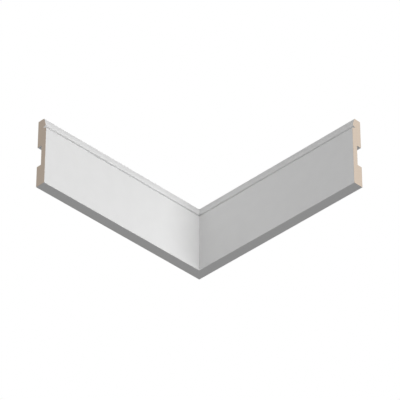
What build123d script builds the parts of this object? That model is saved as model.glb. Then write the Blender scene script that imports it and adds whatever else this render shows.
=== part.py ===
"""Two lengths of moulded skirting board, mitred to turn the inner corner of a room.

Each board is a run of one section. A flat face stands on the floor and ends in a shoulder. Above the
shoulder a quirk is cut, which narrows to its root, and above the quirk a bead curves forward and then
leans back to a narrow flat top. A square channel runs along the back, open to the wall and at both ends.

Millimetres, +Z up. The origin is on the floor, where the two walls meet. The right board runs along +X
with its back against the wall at Y = 0, and the left board runs along -Y with its back against the wall
at X = 0, so the room is at +X and -Y. The two boards meet face to face in the mitre plane, X + Y = 0.
"""

import os

from build123d import *

# Overall sizes
board_height = 110.0
board_thickness = 16.0
left_run = 310.0  # from the wall corner to the left board's sawn end
right_run = 310.0  # from the wall corner to the right board's sawn end

# Channel along the back
channel_bottom = 33.5  # above the floor
channel_height = 32.5
channel_depth = 8.0

# Moulding along the top: heights below the top of the board, and depths behind the flat face
shoulder_drop = 17.8
quirk_drop = 14.2
quirk_root_height = 0.6
quirk_depth = 5.5
bead_low_drop = 13.1
bead_high_drop = 9.2
bead_depth = 1.4
flat_top_depth = 4.9

# Rounded edges
bead_crown_radius = 15.0
bead_underside_radius = 1.2
arris_radius = 0.5

channel_top = channel_bottom + channel_height

# Corners of the section, each as distance from the wall and height above the floor
foot_front = (board_thickness, 0)
shoulder = (board_thickness, board_height - shoulder_drop)
quirk_low = (board_thickness - quirk_depth, board_height - quirk_drop - quirk_root_height)
quirk_high = (board_thickness - quirk_depth, board_height - quirk_drop)
bead_low = (board_thickness - bead_depth, board_height - bead_low_drop)
bead_high = (board_thickness - bead_depth, board_height - bead_high_drop)
top_front = (board_thickness - flat_top_depth, board_height)

# The section, shared by both boards
with BuildSketch() as section:
    with BuildLine():
        Polyline(
            (0, 0),
            foot_front,
            shoulder,
            quirk_low,
            quirk_high,
            bead_low,
            bead_high,
            top_front,
            (0, board_height),
            (0, channel_top),
            (channel_depth, channel_top),
            (channel_depth, channel_bottom),
            (0, channel_bottom),
            close=True,
        )
    make_face()
    for corner, radius in (
        (bead_high, bead_crown_radius),
        (bead_low, bead_underside_radius),
        (top_front, arris_radius),
        (shoulder, arris_radius),
        (foot_front, arris_radius),
    ):
        fillet(section.vertices().sort_by_distance(corner)[0], radius)

# The mitre halves the square corner between the walls
mitre = Plane(origin=(0, 0, 0), z_dir=(1, 1, 0))

# The left board's section faces along its run, away from the corner
with BuildPart() as left_board:
    with BuildSketch(Plane.XZ):
        add(section.sketch)
    extrude(amount=left_run)
    split(bisect_by=mitre, keep=Keep.BOTTOM)

# The right board's section stands on its sawn end and runs back to the corner
right_end = Plane(origin=(right_run, 0, 0), x_dir=(0, -1, 0), z_dir=(-1, 0, 0))

with BuildPart() as right_board:
    with BuildSketch(right_end):
        add(section.sketch)
    extrude(amount=right_run)
    split(bisect_by=mitre, keep=Keep.TOP)

left_board.part.label = "left_board"
right_board.part.label = "right_board"

os.makedirs("parts", exist_ok=True)
export_step(left_board.part, "parts/left_board.step")
export_step(right_board.part, "parts/right_board.step")
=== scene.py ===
"""Looks for two mitred lengths of skirting board: dull white paint on fibreboard, in a pale studio.

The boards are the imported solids, which keep their shape. This file gives them their finish, and adds the
floor, the lamps, the white surroundings and a camera that looks up at the corner from below.
"""

import math

import bpy
from bpy.props import FloatProperty, FloatVectorProperty, PointerProperty
from mathutils import Matrix, Vector


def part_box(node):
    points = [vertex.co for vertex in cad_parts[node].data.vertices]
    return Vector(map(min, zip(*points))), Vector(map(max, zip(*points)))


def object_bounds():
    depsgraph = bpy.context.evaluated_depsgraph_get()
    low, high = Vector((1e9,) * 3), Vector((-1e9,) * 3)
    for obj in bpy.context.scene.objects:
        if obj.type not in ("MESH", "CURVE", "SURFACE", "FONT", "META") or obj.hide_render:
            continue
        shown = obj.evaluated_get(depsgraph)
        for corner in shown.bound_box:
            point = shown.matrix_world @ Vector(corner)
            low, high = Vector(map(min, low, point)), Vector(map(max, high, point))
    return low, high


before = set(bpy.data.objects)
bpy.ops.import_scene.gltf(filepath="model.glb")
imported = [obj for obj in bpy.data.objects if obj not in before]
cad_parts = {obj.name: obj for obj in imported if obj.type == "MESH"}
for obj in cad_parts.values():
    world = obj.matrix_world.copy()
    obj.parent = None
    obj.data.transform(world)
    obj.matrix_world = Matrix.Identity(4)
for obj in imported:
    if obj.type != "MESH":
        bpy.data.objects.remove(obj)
CAD_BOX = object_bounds()

bl_info = {
    "name": "Skirting Board Corner",
    "version": (1, 0, 0),
    "blender": (4, 5, 0),
    "location": "3D View > Sidebar > Skirting",
    "description": "Finishes a mitred skirting board corner and sets it in a plain pale studio",
    "category": "Object",
}

# Ends of the two runs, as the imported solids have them
LEFT_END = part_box("left_board")[0].y
RIGHT_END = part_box("right_board")[1].x
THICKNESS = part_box("left_board")[1].x

# Paint: lumps to the metre, the depth of the slow waves in stipple depths, and how far the noises go
WAVE_LUMPS = 18.0
CLOUD_LUMPS = 55.0
CLOUD_SPAN = (0.3, 0.7)
WAVE_DEPTH = 4.0
COLOUR_DRIFT = 0.007
STIPPLE_SHEEN = 0.12
CLOUD_SHEEN = 0.06

# Sawn fibreboard: lumps to the metre, along X, Y and Z where there are three
LAYER_LUMPS = (2600.0, 2600.0, 520.0)
FLUFF_LUMPS = 2200.0
BUNDLE_LUMPS = (1500.0, 1500.0, 600.0)
SAW_MARK_LUMPS = (240.0, 240.0, 1400.0)
CHIP_LUMPS = 900.0
# Share of the skin's depth, in from the face, that has its full shade
SKIN_CORE = 0.4
SKIN_SHADE = 0.05
# Each place on the noise, and the fibre colour there as a share of the base colour
FIBRE_TONES = ((0.25, 0.72), (0.42, 0.93), (0.52, 1.01), (0.62, 1.07), (0.80, 1.16))
BUNDLE_SPAN = (0.68, 0.80)
BUNDLE_TONE = 0.45
BUNDLE_STRENGTH = 0.55
# Shares of the pressed layers, the fluff and the saw marks in the colour and in the height
LAYER_TONE, FLUFF_TONE = 0.6, 0.4
LAYER_HEIGHT, FLUFF_HEIGHT, SAW_MARK_HEIGHT = 0.55, 0.35, 0.10
# Share of the paint edge over which paint turns into bare fibre
EDGE_BLUR = 0.25

# The floor lies just under the feet of the boards, and fades between two shares of its width
FLOOR_GAP = 0.0003
FADE_START = 0.12
FADE_END = 0.45

# Azimuth and elevation of each lamp in degrees; its strength is the studio property of the same name
LAMPS = {
    "key_lamp": (93.0, 0.0),
    "side_lamp": (-12.0, 15.0),
    "low_lamp": (150.0, -20.0),
    "back_lamp": (225.0, 38.0),
}
LAMP_DISTANCE = 6.0
LAMP_WIDTH = 2.4
SENSOR_WIDTH = 36.0


class Wire:
    """An output socket. Arithmetic on it adds Math nodes to the tree that it belongs to."""

    def __init__(self, graph, socket):
        self.graph = graph
        self.socket = socket

    def math(self, operation, *values):
        return self.graph.node("ShaderNodeMath", {"operation": operation}, dict(enumerate(values)))

    def __add__(self, other):
        return self.math("ADD", self, other)

    def __sub__(self, other):
        return self.math("SUBTRACT", self, other)

    def __rsub__(self, other):
        return self.math("SUBTRACT", other, self)

    def __mul__(self, other):
        return self.math("MULTIPLY", self, other)

    def __neg__(self):
        return self.math("MULTIPLY", self, -1.0)

    __radd__ = __add__
    __rmul__ = __mul__

    def larger(self, other):
        return self.math("MAXIMUM", self, other)

    def smaller(self, other):
        return self.math("MINIMUM", self, other)

    def rise(self, start, end):
        """0 below start, 1 above end, and a smooth rise between."""
        return self.graph.node(
            "ShaderNodeMapRange",
            {"interpolation_type": "SMOOTHSTEP"},
            {"Value": self, "From Min": start, "From Max": end},
        )


class Graph:
    """The node tree of a material or a world, cleared and ready to be filled."""

    def __init__(self, owner):
        owner.use_nodes = True
        self.tree = owner.node_tree
        self.tree.nodes.clear()

    def node(self, kind, settings=None, values=None, output=0):
        """Adds a node, sets it up, fills its sockets with values or wires, and gives one output."""
        made = self.tree.nodes.new(kind)
        for name, value in (settings or {}).items():
            if name == "stops":
                self.fill_ramp(made.color_ramp, value)
            else:
                setattr(made, name, value)
        for name, value in (values or {}).items():
            if isinstance(value, Wire):
                self.tree.links.new(value.socket, made.inputs[name])
            else:
                made.inputs[name].default_value = value
        return Wire(self, made.outputs[output]) if made.outputs else None

    @staticmethod
    def fill_ramp(ramp, stops):
        while len(ramp.elements) < len(stops):
            ramp.elements.new(1.0)
        for element, (place, colour) in zip(ramp.elements, stops):
            element.position = place
            element.color = (*colour, 1.0)

    def noise(self, place, scale, detail=2.0, roughness=0.5):
        """Noise of about 0.5, with scale lumps to the metre."""
        return self.node(
            "ShaderNodeTexNoise",
            None,
            {"Vector": place, "Scale": scale, "Detail": detail, "Roughness": roughness},
        )

    def stretched(self, place, scale):
        """The same place with each axis scaled by itself."""
        return self.node("ShaderNodeMapping", None, {"Vector": place, "Scale": scale})

    def bump(self, height, depth, under=None):
        """A normal raised by height, which is 0 to 1, over depth in metres."""
        values = {"Height": height, "Distance": depth}
        if under is not None:
            values["Normal"] = under
        return self.node("ShaderNodeBump", None, values)


class BoardFinish(bpy.types.PropertyGroup):
    """Paint and bare fibreboard of both boards."""

    paint_colour: FloatVectorProperty(
        name="Paint colour",
        description="White paint on every long face",
        default=(0.80, 0.80, 0.798),
        min=0.0,
        max=1.0,
        subtype="COLOR",
    )
    paint_roughness: FloatProperty(
        name="Paint roughness",
        description="Dull sheen of the paint, from 0 for a mirror to 1 for chalk",
        default=0.62,
        min=0.0,
        max=1.0,
        subtype="FACTOR",
    )
    paint_specular: FloatProperty(
        name="Paint specular",
        description="Strength of the paint's reflections, where 0.5 is glossy enamel",
        default=0.12,
        min=0.0,
        max=1.0,
        subtype="FACTOR",
    )
    stipple_pitch: FloatProperty(
        name="Stipple pitch",
        description="Distance between the small lumps that spraying leaves in the paint",
        default=0.0012,
        min=0.0001,
        unit="LENGTH",
    )
    stipple_depth: FloatProperty(
        name="Stipple depth",
        description="Height of the lumps in the paint",
        default=0.000008,
        min=0.0,
        precision=6,
        unit="LENGTH",
    )
    paint_edge: FloatProperty(
        name="Paint edge",
        description="How far short of the sawn end the paint stops",
        default=0.00018,
        min=0.0,
        precision=6,
        unit="LENGTH",
    )
    fibre_colour: FloatVectorProperty(
        name="Fibreboard colour",
        description="Bare fibreboard on the sawn ends",
        default=(0.676, 0.568, 0.469),
        min=0.0,
        max=1.0,
        subtype="COLOR",
    )
    fibre_roughness: FloatProperty(
        name="Fibreboard roughness",
        description="Roughness of the sawn fibreboard",
        default=0.90,
        min=0.0,
        max=1.0,
        subtype="FACTOR",
    )
    fibre_depth: FloatProperty(
        name="Fibre depth",
        description="Height of the torn fibres on the sawn ends",
        default=0.00006,
        min=0.0,
        precision=6,
        unit="LENGTH",
    )
    skin_depth: FloatProperty(
        name="Skin depth",
        description="Thickness of the denser, slightly darker skin on each face of the fibreboard",
        default=0.0016,
        min=0.0,
        unit="LENGTH",
    )


class StudioSetup(bpy.types.PropertyGroup):
    """Floor, surroundings, lamps and camera."""

    floor_colour: FloatVectorProperty(
        name="Floor colour",
        description="Colour of the plain floor, seen from above",
        default=(0.98, 0.98, 0.98),
        min=0.0,
        max=1.0,
        subtype="COLOR",
    )
    floor_glow: FloatProperty(
        name="Floor glow",
        description="Share of the floor's colour that shows by itself, so that shadows stay pale",
        default=0.50,
        min=0.0,
        max=1.0,
        subtype="FACTOR",
    )
    floor_size: FloatProperty(
        name="Floor size",
        description="Width of the floor, which fades into the white surroundings before its edge",
        default=8.0,
        min=1.0,
        unit="LENGTH",
    )
    front_light: FloatProperty(
        name="Front light",
        description="Strength of the soft light that comes from the -Y side",
        default=0.60,
        min=0.0,
    )
    under_light: FloatProperty(
        name="Under light",
        description="Strength of the soft light that comes from below",
        default=0.21,
        min=0.0,
    )
    key_lamp: FloatProperty(
        name="Key lamp",
        description="Light on a surface that faces the lamp at the +X side, where 1 shows its own colour",
        default=0.785,
        min=0.0,
    )
    side_lamp: FloatProperty(
        name="Side lamp",
        description="Light on a surface that faces the lamp just past the left board, at the -Y side",
        default=0.101,
        min=0.0,
    )
    low_lamp: FloatProperty(
        name="Low lamp",
        description="Light on a surface that faces the lamp low at the +X and +Y side",
        default=0.063,
        min=0.0,
    )
    back_lamp: FloatProperty(
        name="Back lamp",
        description="Light on a surface that faces the lamp high behind the boards",
        default=0.88,
        min=0.0,
    )
    camera_azimuth: FloatProperty(
        name="Camera azimuth",
        description="Direction of the camera round the corner, from the -Y side towards +X",
        default=math.radians(45.004),
        subtype="ANGLE",
    )
    camera_elevation: FloatProperty(
        name="Camera elevation",
        description="Height of the camera over the horizon; it is below, and looks up",
        default=math.radians(-35.898),
        subtype="ANGLE",
    )
    camera_roll: FloatProperty(
        name="Camera roll",
        description="Turn of the camera about its own axis",
        default=math.radians(0.032),
        subtype="ANGLE",
    )
    camera_distance: FloatProperty(
        name="Camera distance",
        description="Distance from the camera to the point that it aims at",
        default=4.389,
        min=0.1,
        unit="LENGTH",
    )
    camera_aim: FloatVectorProperty(
        name="Camera aim",
        description="Point that the camera looks at, over the corner of the walls",
        default=(-0.000446, 0.001879, 0.138810),
        precision=6,
        subtype="TRANSLATION",
        unit="LENGTH",
    )
    camera_lens: FloatProperty(
        name="Camera lens",
        description="Focal length in millimetres, on a 36 mm sensor",
        default=276.69,
        min=1.0,
    )


def direction(azimuth, elevation):
    """Unit vector out of the origin; azimuth 0 is -Y and a quarter turn is +X."""
    level = math.cos(elevation)
    return Vector((math.sin(azimuth) * level, -math.cos(azimuth) * level, math.sin(elevation)))


def paint_shader(graph, place, finish):
    """Sprayed dull paint: a fine stipple, a slow waviness and an uneven sheen."""
    stipple = graph.noise(place, 1.0 / finish.stipple_pitch, detail=3.0)
    wave = graph.noise(place, WAVE_LUMPS, detail=1.0)
    cloud = graph.noise(place, CLOUD_LUMPS)
    normal = graph.bump(stipple, finish.stipple_depth)
    normal = graph.bump(wave, finish.stipple_depth * WAVE_DEPTH, under=normal)
    white = Vector(finish.paint_colour)
    colour = graph.node(
        "ShaderNodeMix",
        {"data_type": "RGBA"},
        {
            "Factor": cloud.rise(*CLOUD_SPAN),
            "A": (*(white * (1.0 - COLOUR_DRIFT)), 1.0),
            "B": (*(white * (1.0 + COLOUR_DRIFT)), 1.0),
        },
        output="Result",
    )
    sheen = (stipple - 0.5) * STIPPLE_SHEEN + (cloud - 0.5) * CLOUD_SHEEN
    return graph.node(
        "ShaderNodeBsdfPrincipled",
        None,
        {
            "Base Color": colour,
            "Roughness": finish.paint_roughness + sheen,
            "Specular IOR Level": finish.paint_specular,
            "Normal": normal,
        },
    )


def fibre_shader(graph, place, across, finish):
    """Sawn fibreboard: pressed layers of short fibres, darker skins, stray dark bundles and saw marks."""
    layers = graph.noise(graph.stretched(place, LAYER_LUMPS), 1.0, detail=4.0, roughness=0.65)
    fluff = graph.noise(place, FLUFF_LUMPS, detail=3.0, roughness=0.6)
    bundles = graph.noise(graph.stretched(place, BUNDLE_LUMPS), 1.0, detail=1.0)
    marks = graph.noise(graph.stretched(place, SAW_MARK_LUMPS), 1.0, detail=1.0)
    depth_in = across.smaller(THICKNESS - across)
    skin = 1.0 - depth_in.rise(finish.skin_depth * SKIN_CORE, finish.skin_depth)
    tone = layers * LAYER_TONE + fluff * FLUFF_TONE - skin * SKIN_SHADE
    base = Vector(finish.fibre_colour)
    colour = graph.node(
        "ShaderNodeValToRGB",
        {"stops": [(stop, base * share) for stop, share in FIBRE_TONES]},
        {"Fac": tone},
    )
    colour = graph.node(
        "ShaderNodeMix",
        {"data_type": "RGBA"},
        {
            "Factor": bundles.rise(*BUNDLE_SPAN) * BUNDLE_STRENGTH,
            "A": colour,
            "B": (*(base * BUNDLE_TONE), 1.0),
        },
        output="Result",
    )
    height = layers * LAYER_HEIGHT + fluff * FLUFF_HEIGHT + marks * SAW_MARK_HEIGHT
    return graph.node(
        "ShaderNodeBsdfPrincipled",
        None,
        {
            "Base Color": colour,
            "Roughness": finish.fibre_roughness,
            "Specular IOR Level": 0.0,
            "Normal": graph.bump(height, finish.fibre_depth),
        },
    )


def board_material(finish):
    """White paint along the board, and bare fibreboard on its sawn end."""
    material = bpy.data.materials.new("painted_fibreboard")
    graph = Graph(material)
    place = graph.node("ShaderNodeTexCoord", output="Object")
    x = graph.node("ShaderNodeSeparateXYZ", None, {0: place}, output="X")
    y = graph.node("ShaderNodeSeparateXYZ", None, {0: place}, output="Y")
    across = x.smaller(-y)
    past_end = (x - RIGHT_END).larger(LEFT_END - y)
    chips = (graph.noise(place, CHIP_LUMPS) - 0.5) * finish.paint_edge
    bare = (past_end + finish.paint_edge + chips).rise(0.0, finish.paint_edge * EDGE_BLUR)
    surface = graph.node(
        "ShaderNodeMixShader",
        None,
        {
            0: bare,
            1: paint_shader(graph, place, finish),
            2: fibre_shader(graph, place, across, finish),
        },
    )
    graph.node("ShaderNodeOutputMaterial", None, {"Surface": surface})
    return material


def floor_material(studio):
    """A pale floor that shows only from above, keeps shadows and fades into the white surroundings."""
    material = bpy.data.materials.new("studio_floor")
    graph = Graph(material)
    place = graph.node("ShaderNodeTexCoord", output="Object")
    distance = graph.node(
        "ShaderNodeVectorMath",
        {"operation": "LENGTH"},
        {0: place},
        output="Value",
    )
    seen = graph.node("ShaderNodeLightPath", output="Is Camera Ray")
    below = graph.node("ShaderNodeNewGeometry", output="Backfacing")
    near = 1.0 - distance.rise(studio.floor_size * FADE_START, studio.floor_size * FADE_END)
    colour = Vector(studio.floor_colour)
    matt = graph.node(
        "ShaderNodeBsdfDiffuse",
        None,
        {"Color": (*(colour * (1.0 - studio.floor_glow)), 1.0)},
    )
    glow = graph.node(
        "ShaderNodeEmission",
        None,
        {"Color": (*colour, 1.0), "Strength": studio.floor_glow},
    )
    solid = graph.node("ShaderNodeAddShader", None, {0: matt, 1: glow})
    clear = graph.node("ShaderNodeBsdfTransparent")
    shown = seen * (1.0 - below) * near
    surface = graph.node("ShaderNodeMixShader", None, {0: shown, 1: clear, 2: solid})
    graph.node("ShaderNodeOutputMaterial", None, {"Surface": surface})
    return material


def surroundings(studio):
    """White to the camera and in reflections, and a soft light from the -Y side and from below."""
    world = bpy.data.worlds.new("studio_surroundings")
    graph = Graph(world)
    towards = graph.node("ShaderNodeTexCoord", output="Generated")
    y = graph.node("ShaderNodeSeparateXYZ", None, {0: towards}, output="Y")
    z = graph.node("ShaderNodeSeparateXYZ", None, {0: towards}, output="Z")
    light = (-y).larger(0.0) * studio.front_light + (-z).larger(0.0) * studio.under_light
    camera_ray = graph.node("ShaderNodeLightPath", output="Is Camera Ray")
    glossy_ray = graph.node("ShaderNodeLightPath", output="Is Glossy Ray")
    through_ray = graph.node("ShaderNodeLightPath", output="Is Transmission Ray")
    white = camera_ray.larger(glossy_ray).larger(through_ray)
    strength = white + (1.0 - white) * light
    background = graph.node(
        "ShaderNodeBackground",
        None,
        {"Color": (1.0, 1.0, 1.0, 1.0), "Strength": strength},
    )
    graph.node("ShaderNodeOutputWorld", None, {"Surface": background})
    return world


def add_lamp(name, azimuth, elevation, light):
    """A round soft lamp that looks at the boards from far off, and shows in no reflection."""
    centre = (CAD_BOX[0] + CAD_BOX[1]) / 2
    towards = direction(math.radians(azimuth), math.radians(elevation))
    bpy.ops.object.light_add(type="AREA", location=centre + towards * LAMP_DISTANCE)
    lamp = bpy.context.object
    lamp.name = name
    lamp.rotation_euler = towards.to_track_quat("Z", "Y").to_euler()
    lamp.data.shape = "DISK"
    lamp.data.size = LAMP_WIDTH
    lamp.data.energy = light * (math.pi * LAMP_DISTANCE) ** 2
    lamp.visible_camera = False
    lamp.visible_glossy = False


def add_camera(studio):
    """The photograph's view: a long lens below the corner, looking up between the boards."""
    back = direction(studio.camera_azimuth, studio.camera_elevation)
    right = Vector((0.0, 0.0, 1.0)).cross(back).normalized()
    turned = Matrix((right, back.cross(right), back)).transposed()
    turned = turned @ Matrix.Rotation(studio.camera_roll, 3, "Z")
    bpy.ops.object.camera_add()
    camera = bpy.context.object
    camera.name = "camera"
    camera.matrix_world = turned.to_4x4()
    camera.location = Vector(studio.camera_aim) + back * studio.camera_distance
    camera.data.sensor_width = SENSOR_WIDTH
    camera.data.lens = studio.camera_lens
    bpy.context.scene.camera = camera


class SKIRTING_OT_finish_boards(bpy.types.Operator):
    """Paint both boards white and leave their sawn ends bare"""

    bl_idname = "skirting.finish_boards"
    bl_label = "Finish Boards"

    def execute(self, context):
        material = board_material(context.scene.skirting_finish)
        for name in ("left_board", "right_board"):
            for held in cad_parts[name].material_slots:
                held.material = material
        return {"FINISHED"}


class SKIRTING_OT_set_stage(bpy.types.Operator):
    """Add the floor, the lamps, the white surroundings and the camera"""

    bl_idname = "skirting.set_stage"
    bl_label = "Set Stage"

    def execute(self, context):
        studio = context.scene.skirting_studio
        bpy.ops.object.select_all(action="DESELECT")
        bpy.ops.mesh.primitive_plane_add(size=studio.floor_size, location=(0.0, 0.0, -FLOOR_GAP))
        bpy.ops.object.transform_apply(location=True, rotation=False, scale=False)
        floor = context.object
        floor.name = "floor"
        floor.data.materials.append(floor_material(studio))
        for name, (azimuth, elevation) in LAMPS.items():
            add_lamp(name, azimuth, elevation, getattr(studio, name))
        context.scene.world = surroundings(studio)
        context.scene.view_settings.view_transform = "Standard"
        add_camera(studio)
        return {"FINISHED"}


class SKIRTING_PT_panel(bpy.types.Panel):
    """Sizes, colours and steps of the skirting board corner"""

    bl_idname = "SKIRTING_PT_panel"
    bl_label = "Skirting Board Corner"
    bl_space_type = "VIEW_3D"
    bl_region_type = "UI"
    bl_category = "Skirting"

    def draw(self, context):
        steps = (
            (context.scene.skirting_finish, SKIRTING_OT_finish_boards),
            (context.scene.skirting_studio, SKIRTING_OT_set_stage),
        )
        for group, operator in steps:
            box = self.layout.box()
            for name in group.__annotations__:
                box.prop(group, name)
            box.operator(operator.bl_idname)


CLASSES = (
    BoardFinish,
    StudioSetup,
    SKIRTING_OT_finish_boards,
    SKIRTING_OT_set_stage,
    SKIRTING_PT_panel,
)


def register():
    for cls in CLASSES:
        bpy.utils.register_class(cls)
    bpy.types.Scene.skirting_finish = PointerProperty(type=BoardFinish)
    bpy.types.Scene.skirting_studio = PointerProperty(type=StudioSetup)


def unregister():
    del bpy.types.Scene.skirting_studio
    del bpy.types.Scene.skirting_finish
    for cls in reversed(CLASSES):
        bpy.utils.unregister_class(cls)


def main():
    register()
    bpy.ops.skirting.finish_boards()
    bpy.ops.skirting.set_stage()


if __name__ == "__main__":
    main()
